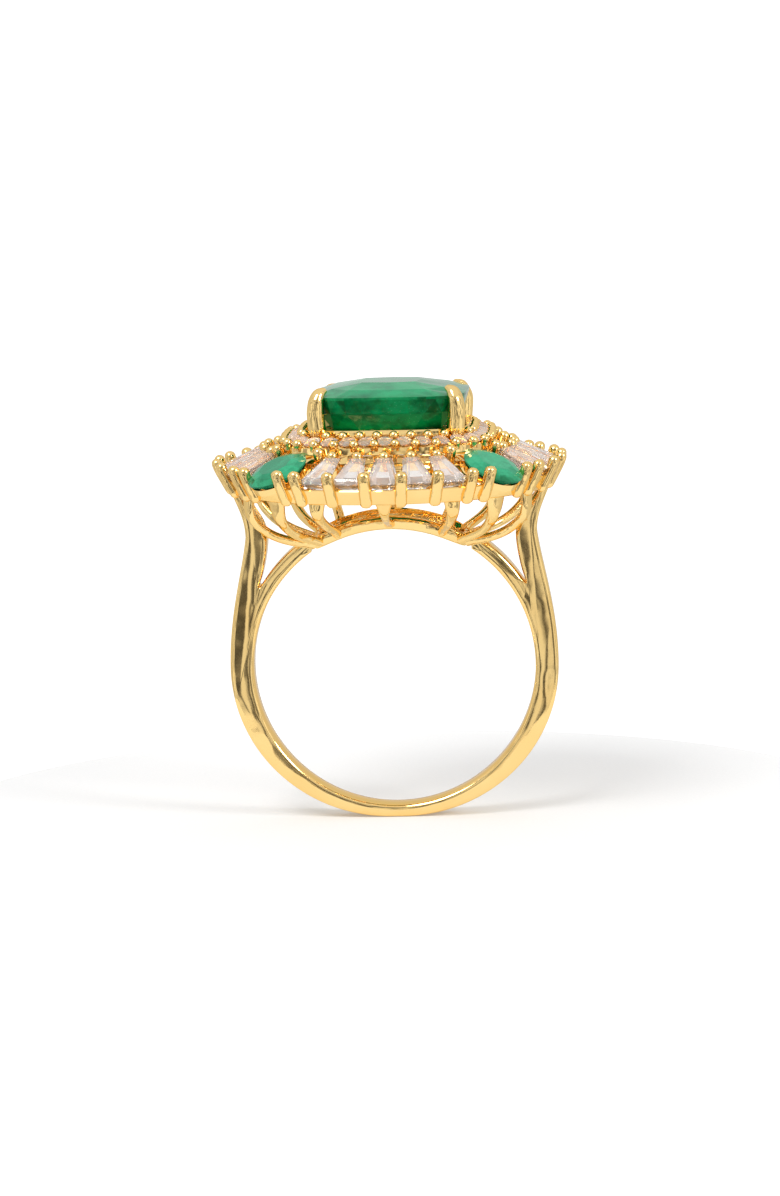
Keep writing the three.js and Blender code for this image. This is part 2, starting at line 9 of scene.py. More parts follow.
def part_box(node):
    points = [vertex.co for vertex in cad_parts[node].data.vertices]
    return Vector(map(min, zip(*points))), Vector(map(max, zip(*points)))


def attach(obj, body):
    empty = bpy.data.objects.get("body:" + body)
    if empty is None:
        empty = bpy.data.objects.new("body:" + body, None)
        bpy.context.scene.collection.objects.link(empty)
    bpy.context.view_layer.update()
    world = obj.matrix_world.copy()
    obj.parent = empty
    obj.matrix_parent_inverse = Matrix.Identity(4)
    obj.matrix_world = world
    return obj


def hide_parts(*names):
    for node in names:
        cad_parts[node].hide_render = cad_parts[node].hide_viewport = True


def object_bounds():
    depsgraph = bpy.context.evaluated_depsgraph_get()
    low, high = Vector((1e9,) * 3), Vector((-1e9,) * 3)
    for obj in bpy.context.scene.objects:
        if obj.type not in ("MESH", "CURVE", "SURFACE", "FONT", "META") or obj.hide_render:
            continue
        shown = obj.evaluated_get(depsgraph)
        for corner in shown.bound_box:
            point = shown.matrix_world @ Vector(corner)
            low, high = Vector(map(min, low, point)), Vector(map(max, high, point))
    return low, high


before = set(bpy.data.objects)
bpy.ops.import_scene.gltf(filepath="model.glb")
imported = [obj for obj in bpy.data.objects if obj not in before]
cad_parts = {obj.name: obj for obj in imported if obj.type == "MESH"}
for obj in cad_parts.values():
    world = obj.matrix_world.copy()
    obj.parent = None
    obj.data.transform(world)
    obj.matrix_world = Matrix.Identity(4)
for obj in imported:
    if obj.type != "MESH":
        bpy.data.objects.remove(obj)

cad_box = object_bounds()

# ---- Studio ----
# A pale table under the ring, soft white light from above, behind and both sides, and a dimmer
# room in front of the table, which is what draws the dark streaks in polished gold.


class Level:
    """One output of a node, as a number that takes part in sums."""

    def __init__(self, finish, socket):
        self.finish = finish
        self.socket = socket

    def combined(self, operation, first, second):
        return self.finish.node("ShaderNodeMath", {"operation": operation}, {0: first, 1: second})

    def __add__(self, other):
        return self.combined("ADD", self, other)

    def __radd__(self, other):
        return self.combined("ADD", other, self)

    def __rsub__(self, other):
        return self.combined("SUBTRACT", other, self)

    def __mul__(self, other):
        return self.combined("MULTIPLY", self, other)

    def __rmul__(self, other):
        return self.combined("MULTIPLY", other, self)


class Finish:
    """A node tree being put together: a material's, or the room's."""

    def __init__(self, owner):
        owner.use_nodes = True
        self.owner = owner
        self.tree = owner.node_tree
        self.tree.nodes.clear()

    def node(self, kind, settings=None, sockets=None, out=0):
        """A new node: its settings first, then what its sockets hold or are linked to."""
        made = self.tree.nodes.new(kind)
        for key, value in (settings or {}).items():
            setattr(made, key, value)
        for key, value in (sockets or {}).items():
            if isinstance(value, Level):
                self.tree.links.new(value.socket, made.inputs[key])
            else:
                made.inputs[key].default_value = value
        return Level(self, made.outputs[out] if made.outputs else None)

    def mix(self, share, first, second):
        """A colour between two others."""
        return self.node("ShaderNodeMix", {"data_type": "RGBA"}, {0: share, 6: first, 7: second}, out=2)

    def smooth(self, value, low, high):
        """0 below low, 1 above high and an easy slope between."""
        settings = {"interpolation_type": "SMOOTHSTEP"}
        return self.node("ShaderNodeMapRange", settings, {0: value, 1: low, 2: high})


room = bpy.data.worlds.new("studio")
bpy.context.scene.world = room
bpy.context.scene.view_settings.view_transform = "Standard"
air = Finish(room)
facing = air.node("ShaderNodeTexCoord", out="Generated")
sideways = air.node("ShaderNodeSeparateXYZ", sockets={0: facing}, out=0)
depth = air.node("ShaderNodeSeparateXYZ", sockets={0: facing}, out=1)
rise = air.node("ShaderNodeSeparateXYZ", sockets={0: facing}, out=2)
behind = air.smooth(depth, -0.15, 0.35)
overhead = air.smooth(rise, 0.45, 0.75)
panels = air.smooth(sideways, 0.42, 0.55) + air.smooth(-1 * sideways, 0.5, 0.62)
clutter = air.node("ShaderNodeTexNoise", sockets={"Vector": facing, "Scale": 7.0, "Detail": 2.0})
dim_front = 0.09
bright_patch = 0.8
side_panel = 0.3
back_wall = 0.72
ceiling = 0.85
plain_white = 1.2
front_light = dim_front + bright_patch * air.smooth(clutter, 0.42, 0.6) + side_panel * panels
level_light = back_wall * behind + (1 - behind) * front_light
glow = level_light * (1 - overhead) + ceiling * overhead
seen = air.node("ShaderNodeLightPath", out="Is Camera Ray")
lit = air.node("ShaderNodeBackground", sockets={0: (1, 1, 1, 1), 1: glow * (1 - seen) + plain_white * seen})
air.node("ShaderNodeOutputWorld", sockets={0: lit})

# The table top, a wide disc at the lowest point of the band.
table_radius = 0.03
hairline = 0.00001
table_mesh = bpy.data.meshes.new("table_top")
disc = bmesh.new()
bmesh.ops.create_circle(disc, cap_ends=True, segments=96, radius=table_radius)
disc.to_mesh(table_mesh)
disc.free()
table = bpy.data.objects.new("table_top", table_mesh)
table.location = (0, 0, cad_box[0][2] - hairline)
bpy.context.scene.collection.objects.link(table)
paper = Finish(bpy.data.materials.new("table_paper"))
fibre = paper.node("ShaderNodeTexNoise", sockets={"Scale": 300.0, "Detail": 3.0})
sheet = paper.node(
    "ShaderNodeBsdfPrincipled",
    sockets={
        "Base Color": paper.mix(fibre, (0.6, 0.6, 0.6, 1), (0.66, 0.66, 0.66, 1)),
        "Roughness": 0.9,
        "Emission Color": (1, 1, 1, 1),
        "Emission Strength": 0.2,
    },
)
paper.node("ShaderNodeOutputMaterial", sockets={0: sheet})
table_mesh.materials.append(paper.owner)


def lamp(name, place, size, watts):
    """A soft square light that faces the ring."""
    data = bpy.data.lights.new(name, "AREA")
    data.size = size
    data.energy = watts
    made = bpy.data.objects.new(name, data)
    made.location = place
    made.rotation_euler = (-Vector(place)).to_track_quat("-Z", "Y").to_euler()
    bpy.context.scene.collection.objects.link(made)


lamp("key_light", (-0.2, -0.3, 0.45), 0.24, 1.8)
lamp("fill_light", (0.4, -0.25, 0.25), 0.14, 1.0)

# The camera stands a quarter of a metre off, a little above the ring and to its right.
camera_distance = 0.25
camera_azimuth = math.radians(2.6)
camera_elevation = math.radians(8.0)
camera_roll = math.radians(-1.5)
aim = Vector((-0.0002, 0, 0.00408))
level_reach = math.cos(camera_elevation)
toward_camera = Vector(
    (
        math.sin(camera_azimuth) * level_reach,
        -math.cos(camera_azimuth) * level_reach,
        math.sin(camera_elevation),
    )
)
camera_data = bpy.data.cameras.new("camera")
camera_data.lens = 122.7
camera_data.sensor_width = 36
camera_data.clip_start = 0.01
camera_data.clip_end = 20
camera = bpy.data.objects.new("camera", camera_data)
camera.location = aim + camera_distance * toward_camera
camera.rotation_mode = "QUATERNION"
camera.rotation_quaternion = toward_camera.to_track_quat("Z", "Y") @ Quaternion((0, 0, 1), camera_roll)
bpy.context.scene.collection.objects.link(camera)
bpy.context.scene.camera = camera

# ---- Shank ----
# The band that the finger wears: one casting in yellow gold with flat cheeks and softened edges.
# It forks on each side, into an outer branch for the crown and an inner one for the base rail.

MM = 0.001


def polished_gold(name, wave_scale, wave_depth):
    """Yellow gold, buffed by hand: soft waves, hair scratches and a slight change of tone."""
    gold = Finish(bpy.data.materials.new(name))
    light = (1.0, 0.75, 0.33, 1)
    deep = (0.97, 0.64, 0.23, 1)
    place = gold.node("ShaderNodeTexCoord", out="Object")
    tone = gold.node("ShaderNodeTexNoise", sockets={"Vector": place, "Scale": 380.0, "Detail": 3.0})
    waves = gold.node("ShaderNodeTexNoise", sockets={"Vector": place, "Scale": wave_scale, "Detail": 1.0})
    hairs = gold.node("ShaderNodeTexNoise", sockets={"Vector": place, "Scale": 9000.0, "Detail": 4.0})
    buffed = gold.node("ShaderNodeBump", sockets={"Strength": 0.4, "Distance": wave_depth, "Height": waves})
    scratched = {"Strength": 0.06, "Distance": 0.00001, "Height": hairs, "Normal": buffed}
    surface = gold.node(
        "ShaderNodeBsdfPrincipled",
        sockets={
            "Base Color": gold.mix(tone, deep, light),
            "Metallic": 1.0,
            "Specular Tint": (1.0, 0.84, 0.56, 1),
            "Roughness": 0.04 + 0.08 * hairs,
            "Normal": gold.node("ShaderNodeBump", sockets=scratched),
        },
    )
    gold.node("ShaderNodeOutputMaterial", sockets={0: surface})
    return gold.owner


band_gold = polished_gold("band_gold", 430.0, 0.0002)


class Form:
    """Closed shells in millimetres, gathered into one piece."""

    def __init__(self):
        self.corners = []
        self.faces = []

    def loft(self, loops, closed=False):
        """A skin over loops of as many points each, capped at both ends unless it closes on itself."""
        start = len(self.corners)
        loops = [[tuple(map(float, point)) for point in loop] for loop in loops]
        count = len(loops[0])
        for loop in loops:
            self.corners += loop
        for row in range(len(loops) if closed else len(loops) - 1):
            here = start + row * count
            after = start + (row + 1) % len(loops) * count
            for i in range(count):
                j = (i + 1) % count
                self.faces.append((here + i, here + j, after + j, after + i))
        if not closed:
            self.faces.append(tuple(reversed(range(start, start + count))))
            self.faces.append(tuple(range(start + (len(loops) - 1) * count, start + len(loops) * count)))

    def piece(self, name, material, replaced, smooth_below=35):
        """The object itself, shaded smooth across edges blunter than that angle."""
        mesh = bpy.data.meshes.new(name)
        mesh.from_pydata([tuple(c * MM for c in corner) for corner in self.corners], [], self.faces)
        shape = bmesh.new()
        shape.from_mesh(mesh)
        bmesh.ops.remove_doubles(shape, verts=shape.verts, dist=1e-7)
        bmesh.ops.dissolve_degenerate(shape, edges=shape.edges, dist=1e-7)
        bmesh.ops.recalc_face_normals(shape, faces=shape.faces)
        limit = math.radians(smooth_below)
        for face in shape.faces:
            face.smooth = smooth_below > 0
        for edge in shape.edges:
            edge.smooth = edge.calc_face_angle(0) < limit
        shape.to_mesh(mesh)
        shape.free()
        mesh.materials.append(material)
        made = bpy.data.objects.new(name, mesh)
        bpy.context.scene.collection.objects.link(made)
        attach(made, "root")
        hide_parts(*replaced)
        return made


def corner_of(node, top=True):
    """A CAD node's highest or lowest corner, in millimetres."""
    return np.array(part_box(node)[1 if top else 0]) / MM


def arc(radius, start, end, steps):
    """Points (x, z) on a circle about the finger hole, by angle from the top."""
    turns = np.linspace(start, end, steps + 1)
    return [(radius * math.sin(turn), radius * math.cos(turn)) for turn in turns]


def bend(points, steps):
    """A cubic curve on four control points, without its first point."""
    a, b, c, d = (np.array(point, float) for point in points)
    line = []
    for t in np.linspace(0, 1, steps + 1)[1:]:
        s = 1 - t
        line.append(tuple(s**3 * a + 3 * s**2 * t * b + 3 * s * t * t * c + t**3 * d))
    return line


finger_radius = 8.65
shoulder_reach = corner_of("shank")[0]
palm_depth = -corner_of("shank", top=False)[2]
arm_top = corner_of("shank")[2]
waist = np.array((8.9, 8.1))
outer_branch = 1.3
inner_branch = 0.87
fork_turn = math.radians(58.7)
inner_tip = 4.89
crown_foot = (9.1, 9.7)


def shank_outline():
    """The band's outline in the plane of the finger hole, clockwise from the right inner branch."""
    branch_radius = finger_radius + inner_branch
    top_arc = arc(branch_radius, math.asin(inner_tip / branch_radius), fork_turn - 0.03, 18)
    before = np.array(top_arc[-1])
    fork = np.array((branch_radius * math.sin(fork_turn), branch_radius * math.cos(fork_turn)))
    after = fork + (0.0, 0.3)
    inner_waist = waist - (outer_branch, 0)
    foot_inside = np.array((crown_foot[0], arm_top))
    foot_outside = np.array((crown_foot[1], arm_top))
    palm = []
    for turn in np.linspace(0, math.pi / 2, 49)[1:]:
        thinning = (1 - math.cos(turn) + math.sin(turn) ** 2) / 2
        radius = shoulder_reach + (palm_depth - shoulder_reach) * thinning
        palm.append((radius * math.cos(turn), -radius * math.sin(turn)))
    right = [
        (inner_tip, math.sqrt(finger_radius**2 - inner_tip**2)),
        *top_arc,
        *bend([before, fork + (0.06, -0.02), fork + (0.06, 0.05), after], 5),
        *bend([after, after + (-0.18, 0.3), inner_waist - (0.02, 0.9), inner_waist], 10),
        *bend([inner_waist, inner_waist + (0.1, 1.0), foot_inside - (0.5, 0.9), foot_inside], 10),
        foot_outside,
        *bend([foot_outside, foot_outside - (0.4, 1), waist + (0, 1.1), waist], 12),
        *bend([waist, waist + (0.25, -2.1), (shoulder_reach, 3.4), (shoulder_reach, 0)], 26),
        *palm,
    ]
    left = [(-x, z) for x, z in reversed(right[:-1])]
    tip_turn = math.asin(inner_tip / finger_radius)
    hole = arc(finger_radius, 2 * math.pi - tip_turn, tip_turn, 140)[1:-1]
    return np.array([*right, *left, *hole])


def into_metal(line):
    """Steps into the metal from a clockwise outline, each for one millimetre of softened edge."""
    before = line - np.roll(line, 1, axis=0)
    after = np.roll(line, -1, axis=0) - line
    sides = []
    for run in (before, after):
        across = np.stack([run[:, 1], -run[:, 0]], axis=1)
        sides.append(across / np.linalg.norm(run, axis=1)[:, None])
    middle = sides[0] + sides[1]
    middle /= np.linalg.norm(middle, axis=1)[:, None]
    steps = middle / np.maximum((middle * sides[0]).sum(axis=1), 0.6)[:, None]
    # Edges are softened less beside a sharp corner.
    sharp = math.cos(math.radians(40))
    corner_reach = 0.6
    least = 0.3
    corners = line[(sides[0] * sides[1]).sum(axis=1) < sharp]
    away = np.linalg.norm(line[:, None] - corners[None], axis=2).min(axis=1)
    return steps * np.clip(away / corner_reach, least, 1)[:, None]


palm_half_width = 0.98
shoulder_extra = 0.12


def band_half_width(height):
    """The band is narrower at the palm than at the shoulders."""
    return palm_half_width + shoulder_extra * min(max((height + palm_depth) / palm_depth, 0), 1)


outline = shank_outline()
step_in = into_metal(outline)
edge_depth = 0.3
edge_width = 0.24
edge_turns = np.linspace(0, math.pi / 2, 5)
soft_edge = [(edge_depth * (1 - math.sin(turn)), edge_width * (1 - math.cos(turn))) for turn in edge_turns]
rows = [(inset, drop, -1) for inset, drop in soft_edge]
rows += [(inset, drop, 1) for inset, drop in reversed(soft_edge)]
band = Form()
band.loft(
    [
        [
            (x + dx * inset, side * (band_half_width(z) - drop), z + dz * inset)
            for (x, z), (dx, dz) in zip(outline, step_in)
        ]
        for inset, drop, side in rows
    ]
)
band.piece("shank_band", band_gold, ["shank"], smooth_below=40)

# ---- Base rail ----
# A closed loop of nearly square gold wire, bent to the finger hole between the shank's inner
# branches. The shank and the gallery's ribs are soldered to it.

rail_top = corner_of("base_rail")
base_wire = 0.6
base_half_length = rail_top[0] - base_wire / 2
base_half_width = rail_top[1] - base_wire / 2
base_corner = 1.2
base_thickness = 0.72
base_lean = 0.33
# The small castings are buffed less evenly than the band, in shorter waves.
cast_gold = polished_gold("cast_gold", 1000.0, 0.00018)


def section(half_width, half_height, sides=16, squareness=2.6):
    """A rounded cross-section, from round at 2 to almost square at 6."""
    points = []
    for turn in 2 * math.pi * np.arange(sides) / sides + math.pi / sides:
        across, up = math.cos(turn), math.sin(turn)
        reach = (abs(across) ** squareness + abs(up) ** squareness) ** (-1 / squareness)
        points.append((half_width * across * reach, half_height * up * reach))
    return points


def strand(points, steps):
    """A smooth line through points, with that many steps between neighbours."""
    before = 2 * np.array(points[0]) - points[1]
    beyond = 2 * np.array(points[-1]) - points[-2]
    line = np.array([before, *points, beyond], float)
    smooth = [line[1]]
    for a, b, c, d in zip(line, line[1:], line[2:], line[3:]):
        for t in np.linspace(0, 1, steps + 1)[1:]:
            straight = 2 * b + (c - a) * t
            square = (2 * a - 5 * b + 4 * c - d) * t**2
            cube = (3 * b - a - 3 * c + d) * t**3
            smooth.append(0.5 * (straight + square + cube))
    return np.array(smooth)


def along(line, sizes, outward, closed=False, sides=16, squareness=2.6):
    """Sections set along a line. Each size is a half-width and a half-depth, the depth measured
    towards the outward direction at that point."""
    count = len(line)
    sizes = np.array(sizes, float)
    if len(sizes) != count:
        share = np.linspace(0, len(sizes) - 1, count)
        sizes = np.stack([np.interp(share, range(len(sizes)), sizes[:, k]) for k in range(2)], axis=1)
    loops = []
    for i, point in enumerate(line):
        before = line[i - 1] if closed or i else point
        after = line[(i + 1) % count] if closed or i + 1 < count else point
        run = (after - before) / np.linalg.norm(after - before)
        across = np.cross(run, outward[i] if len(outward) == count else outward)
        across /= np.linalg.norm(across)
        up = np.cross(across, run)
        loops.append([point + across * a + up * b for a, b in section(*sizes[i], sides, squareness)])
    return loops


def rounded_rectangle(half_length, half_width, corner, steps):
    """Points (x, y) round a rectangle with rounded corners, anticlockwise from the right."""
    points = []
    for quarter, (x, y) in enumerate([(1, 1), (-1, 1), (-1, -1), (1, -1)]):
        centre = np.array((x * (half_length - corner), y * (half_width - corner)))
        for turn in np.linspace(0, math.pi / 2, steps):
            angle = quarter * math.pi / 2 + turn
            points.append(centre + corner * np.array((math.cos(angle), math.sin(angle))))
        following = [(-1, 1), (-1, -1), (1, -1), (1, 1)][quarter]
        target = np.array((following[0] * (half_length - corner), following[1] * (half_width - corner)))
        angle = (quarter + 1) * math.pi / 2
        target = target + corner * np.array((math.cos(angle), math.sin(angle)))
        here = points[-1]
        points += [here + (target - here) * share for share in np.linspace(0, 1, 12)[1:-1]]
    return points


plan = rounded_rectangle(base_half_length, base_half_width, base_corner, 8)
middle_radius = finger_radius + base_thickness / 2
rail_line = np.array([(x, y, math.sqrt(middle_radius**2 - x * x)) for x, y in plan])
# The wire leans outward a little, so its long faces look down and out.
up_from_hole = [
    np.array((x, base_lean * y / base_half_width * z, z)) / middle_radius for x, y, z in rail_line
]
base = Form()
wire_sizes = [(base_wire / 2, base_thickness / 2)] * len(plan)
base.loft(along(rail_line, wire_sizes, up_from_hole, closed=True, squareness=4), closed=True)
base.piece("base_rail_wire", cast_gold, ["base_rail"])

# ---- Gallery ribs ----
# Bent gold straps that carry the crown. Each is a wide flat panel where it is soldered to the
# crown's rail, narrows as it turns in under the stones, and ends on the base rail.

crown_bottom = corner_of("crown_frame", top=False)[2]
rail_height = 0.92
rail_lean = 0.55
rail_width = 0.5
crown_rail_radius = 9.2
rail_middle = crown_rail_radius + rail_width / 2


def around(azimuth, radius, height):
    """A point by its bearing about the ring's axis: 0 is the front and 90 the right side."""
    turn = math.radians(azimuth)
    return np.array((radius * math.sin(turn), -radius * math.cos(turn), height))


base_face = base_half_width + base_wire / 4


def on_base(x, y):
    return (x, y, math.sqrt(middle_radius**2 - x * x))


rib_top = crown_bottom + 0.25
under_stones = 13.5
# Each rib's line at the front right, with its half-width and half-depth at those stations.
ribs = {
    "centre": (
        [
            around(0, rail_middle + 0.1, rib_top),
            (0, -8.6, 10.3),
            (0, -6.4, 9.65),
            (0, -4.2, 9.3),
            on_base(0, -base_face),
        ],
        [(0.55, 0.2), (0.27, 0.2), (0.2, 0.22), (0.2, 0.24), (0.34, 0.28)],
    ),
    "front": (
        [
            around(25, rail_middle, rib_top),
            (4.0, -8.0, 10.2),
            (3.7, -5.8, 9.35),
            (3.4, -3.8, 8.85),
            on_base(3.2, -base_face),
        ],
        [(0.55, 0.22), (0.36, 0.26), (0.28, 0.28), (0.28, 0.28), (0.28, 0.28)],
    ),
    "emerald": (
        [
            around(44, rail_middle, rib_top),
            (6.35, -6.1, 9.8),
            (5.7, -4.5, 8.75),
            on_base(4.3, 0.25 - base_face),
        ],
        [(0.7, 0.22), (0.4, 0.26), (0.28, 0.28), (0.28, 0.28)],
    ),
    "side": (
        [
            around(62, rail_middle, rib_top),
            (8.25, -4.3, 9.8),
            (7.5, -3.6, 8.85),
            (6.4, -2.9, 8.2),
            on_base(4.7, 0.85 - base_face),
        ],
        [(0.6, 0.22), (0.38, 0.26), (0.3, 0.28), (0.28, 0.28), (0.28, 0.28)],
    ),
}


def add_rib(name, course, depth, side, y, x):
    points, sizes = course
    line = strand([np.array(point) * (x, y, 1) for point in points], 8)
    outward = [point - (0, 0, under_stones) for point in line]
    form = Form()
    form.loft(along(line, sizes, outward, squareness=3.2))
    form.piece(f"{name}_strap_{depth}{side}", cast_gold, [f"{name}_rib_{depth}{side}"], 50)


for depth, y in (("front", 1), ("back", -1)):
    add_rib("centre", ribs["centre"], depth, "", y, 1)
    for side, x in (("_right", 1), ("_left", -1)):
        for name in ("front", "emerald", "side"):
            add_rib(name, ribs[name], depth, side, y, x)

# ---- Crown frame ----
# The ballerina crown: an outer rail with a prong at every gap between stones, a smaller inner rail
# with bead prongs, and bars between them. It is one gold casting that leans outward like a skirt.

# The prongs stand a little proud of the outer rail and are pushed in over the stones at their tips.
fan_count = 4
baguettes_per_fan = 5
baguette_pitch = 12
inner_rail_radius = 7.0
inner_rail_width = 0.45
inner_rail_bottom = 12.2
inner_rail_height = 0.6
prong_top = 13.0
prong_radius = 0.37
bar_sizes = [(0.16, 0.17), (0.2, 0.2)]
prong_proud = 0.14
prong_overhang = 0.16
bead_radius = 0.33
bead_top = 13.9
bead_reach = 7.75
oval_bead_top = 14.1
oval_prong_spread = 8.2
oval_bead_spread = 14.0

quarter = 360 / fan_count
fans = [i * quarter for i in range(fan_count)]
oval_azimuths = [fan + quarter / 2 for fan in fans]
fan_end = baguettes_per_fan * baguette_pitch / 2
baguette_azimuths = [
    fan + (i + 0.5) * baguette_pitch - fan_end for fan in fans for i in range(baguettes_per_fan)
]
fan_edges = [fan + i * baguette_pitch - fan_end for fan in fans for i in range(baguettes_per_fan + 1)]
beside_ovals = [azimuth + sign * oval_prong_spread for azimuth in oval_azimuths for sign in (-1, 1)]


def turned_rail(radius, width, bottom, height, lean, soft, steps=144):
    """Loops of a rail about the ring's axis whose faces lean outward, with softened edges."""
    run = height * lean
    plain = [
        (radius, bottom),
        (radius + width, bottom),
        (radius + width + run, bottom + height),
        (radius + run, bottom + height),
    ]
    profile = []
    for i, point in enumerate(plain):
        point = np.array(point)
        for other in (plain[i - 1], plain[(i + 1) % 4]):
            toward = np.array(other) - point
            profile.append(point + toward / np.linalg.norm(toward) * soft)
    return [[around(360 * i / steps, r, z) for r, z in profile] for i in range(steps)]


def prong(foot, tip, radius, lean_in, sides=14, squareness=2.6, flat=0.85):
    """A prong from foot to tip with domed ends, pushed in over the stone at its tip."""
    foot, tip = np.array(foot), np.array(tip)
    length = np.linalg.norm(tip - foot)
    inward = -np.array((tip[0], tip[1], 0)) / math.hypot(tip[0], tip[1])
    shares = [0, 0.012, 0.04, 0.09, 0.2, 0.4, 0.6, 0.75, 0.86, 0.93, 0.97, 0.992, 1]
    bent_part = 0.4
    dome_length = radius * 0.9
    least = 0.02
    line, sizes = [], []
    for share in shares:
        pushed = lean_in * max(0, (share - (1 - bent_part)) / bent_part) ** 2
        line.append(foot + (tip - foot) * share + inward * pushed)
        from_end = min(share, 1 - share) * length
        dome = math.sqrt(max(least, 1 - max(0, 1 - from_end / dome_length) ** 2))
        sizes.append((radius * dome, radius * flat * dome))
    return along(np.array(line), sizes, [-inward] * len(line), sides=sides, squareness=squareness)


inner_middle = inner_rail_radius + inner_rail_width / 2
crown = Form()
outer_edge = 0.07
inner_edge = 0.06
rails = [
    (crown_rail_radius, rail_width, crown_bottom, rail_height, rail_lean, outer_edge),
    (inner_rail_radius, inner_rail_width, inner_rail_bottom, inner_rail_height, rail_lean, inner_edge),
]
for rail in rails:
    crown.loft(turned_rail(*rail), closed=True)
for azimuth in fan_edges + beside_ovals:
    foot = around(azimuth, rail_middle + prong_proud, crown_bottom - prong_proud)
    tip = around(azimuth, rail_middle + 0.2 + (prong_top - crown_bottom) * rail_lean, prong_top)
    crown.loft(prong(foot, tip, prong_radius, prong_overhang))
    bar_start = around(azimuth, inner_middle, inner_rail_bottom + 0.2)
    bar_end = around(azimuth, rail_middle + 0.05, crown_bottom + 0.45)
    bar = np.linspace(bar_start, bar_end, 5)
    crown.loft(along(bar, bar_sizes, np.array((0, 0, 1.0)), sides=10, squareness=3))
beads = [(azimuth, bead_top) for azimuth in baguette_azimuths]
for azimuth in oval_azimuths:
    beads += [(azimuth + sign * oval_bead_spread, oval_bead_top) for sign in (-1, 1)]
for azimuth, height in beads:
    foot = around(azimuth, inner_middle, inner_rail_bottom + inner_rail_height / 2)
    tip = around(azimuth, bead_reach, height)
    crown.loft(prong(foot, tip, bead_radius, 0.0, sides=12, squareness=2, flat=1))
crown.piece("crown_casting", cast_gold, ["crown_frame"], 50)

# ---- Baguettes ----
# Twenty clear step-cut stones, each narrower towards the centre, in four fans of five. Their
# pavilions hang between the crown's rails, and the prongs at their ends hold them.

baguette_inner = 7.6
baguette_inner_height = 13.45
baguette_length = 2.87
baguette_slope = math.radians(25)
baguette_outer_width = 1.98
baguette_inner_width = 1.0


def clear_stone(name, light, deep, clarity):
    """A clear gem: faint veils inside it, painted shade that differs from facet to facet, a warm second
    colour that is a painted reflection of the gold beneath, and a polish that is nearly perfect.
    """
    gem = Finish(bpy.data.materials.new(name))
    place = gem.node("ShaderNodeTexCoord", out="Object")
    veils = gem.node("ShaderNodeTexNoise", sockets={"Vector": place, "Scale": 1400.0, "Detail": 3.0})
    swirls = gem.node("ShaderNodeTexNoise", sockets={"Vector": place, "Scale": 5200.0, "Detail": 2.0})
    polish = gem.node("ShaderNodeBump", sockets={"Strength": 0.05, "Distance": 0.00001, "Height": swirls})
    # Painted shade: every facet faces its own way, and its colour is made lighter or darker by that, as if
    # by the light it gathers.
    facing = gem.node("ShaderNodeNewGeometry", out="True Normal")
    painted_facet_shade = gem.node("ShaderNodeTexNoise", sockets={"Vector": facing, "Scale": 4.0, "Detail": 0.0})
    veils_and_painted_shade = gem.smooth(0.5 * veils + 0.5 * painted_facet_shade, 0.38, 0.6)
    surface = gem.node(
        "ShaderNodeBsdfPrincipled",
        sockets={
            "Base Color": gem.mix(veils_and_painted_shade, light, deep),
            "Roughness": 0.05 * gem.smooth(swirls, 0.45, 0.75),
            "IOR": 1.62,
            "Transmission Weight": clarity,
            "Normal": polish,
        },
    )
    gem.node("ShaderNodeOutputMaterial", sockets={0: surface})
    return gem.owner


# The warmer second colour is a painted reflection of the gold under the stones.
baguette_gem = clear_stone("baguette_gem", (1.0, 0.98, 0.96, 1), (1.0, 0.83, 0.74, 1), 0.78)


def turned(point, azimuth):
    """A point made at the front of the ring, turned to its own bearing."""
    turn = math.radians(azimuth)
    x, y, z = point
    return np.array((x * math.cos(turn) - y * math.sin(turn), x * math.sin(turn) + y * math.cos(turn), z))


# Steps of the cut from culet to table: how far in from the girdle's outline, and how high.
baguette_steps = [
    (0.44, -0.62),
    (0.3, -0.44),
    (0.15, -0.22),
    (0, -0.04),
    (0, 0.04),
    (0.12, 0.15),
    (0.24, 0.23),
    (0.34, 0.26),
]


def baguette_loops(azimuth):
    run = np.array((0, -math.cos(baguette_slope), -math.sin(baguette_slope)))
    up = np.array((0, -math.sin(baguette_slope), math.cos(baguette_slope)))
    start = np.array((0, -baguette_inner, baguette_inner_height))
    loops = []
    for inset, lift in baguette_steps:
        loop = []
        for far, side in ((0, -1), (0, 1), (1, 1), (1, -1)):
            reach = baguette_length - inset if far else inset
            widening = (baguette_outer_width - baguette_inner_width) * reach / baguette_length
            width = baguette_inner_width + widening
            point = start + run * reach + up * lift
            loop.append(turned((side * (width / 2 - inset), point[1], point[2]), azimuth))
        loops.append(loop)
    return loops


for i, azimuth in enumerate(baguette_azimuths):
    fan = ("front", "right", "back", "left")[i // baguettes_per_fan]
    number = i % baguettes_per_fan + 1
    form = Form()
    form.loft(baguette_loops(azimuth))
    form.piece(f"step_cut_{fan}_{number}", baguette_gem, [f"baguette_{fan}_{number}"], 0)

# ---- Oval emeralds and their collets ----
# Four faceted ovals at the corners of the crown, each over a thin gold collet that is soldered
# between the rails. Natural stones, so their green is cloudy and uneven; painted shade also varies it facet
# by facet, and painted light makes their upper part paler.

oval_half_length = 2.0
oval_half_width = 1.65
oval_radius = 9.1
oval_height = 12.75
oval_tilt = math.radians(25)


